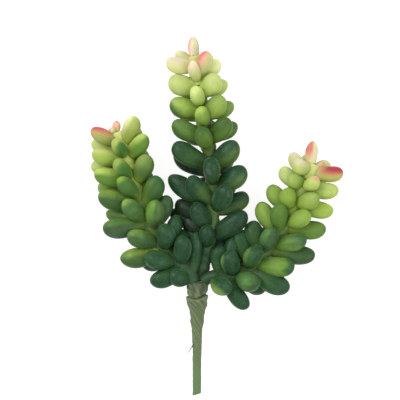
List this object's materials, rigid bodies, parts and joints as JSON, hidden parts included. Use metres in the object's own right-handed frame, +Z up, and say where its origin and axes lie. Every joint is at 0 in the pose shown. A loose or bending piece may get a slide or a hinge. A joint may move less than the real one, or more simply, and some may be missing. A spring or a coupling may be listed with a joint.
{
  "type": "artificial burro's tail pick",
  "caption": "Artificial succulent pick lying on its back: branches of plump leaves in whorls, bound to a straight stem with floral tape.",
  "frame": {"origin": "middle of the footprint, on the surface that the pick lies on", "axes": "+Y along the stem towards the tips, +Z up off the surface, +X to the right seen from above with the tips away"},
  "size_m": [0.1262, 0.1798, 0.0309],
  "materials": {
    "leaf_crown": "soft satin plastic, cream to pale lime with a sprayed pink blush at the tips",
    "leaf_lime": "soft satin plastic, lime, darker green sprayed over the tips",
    "leaf_green": "soft satin plastic with a hazy bloom, dark green, lime at the roots",
    "branch": "plastic coat on wire, satin green",
    "tape": "waxed crepe paper, matte sage green, wound aslant",
    "wire": "plain drawn wire, cut end"
  },
  "bodies": {
    "root": {"stem_wire": "wire", "stem_tape": "tape", "left_branch": "branch", "centre_branch": "branch", "right_branch": "branch", "left_crown_blush": "leaf_crown", "left_whorls_lime": "leaf_lime", "left_whorls_green": "leaf_green", "centre_crown_blush": "leaf_crown", "centre_whorls_lime": "leaf_lime", "centre_whorls_green": "leaf_green", "right_crown_blush": "leaf_crown", "right_whorls_lime": "leaf_lime", "right_whorls_green": "leaf_green"}
  },
  "joints": []
}
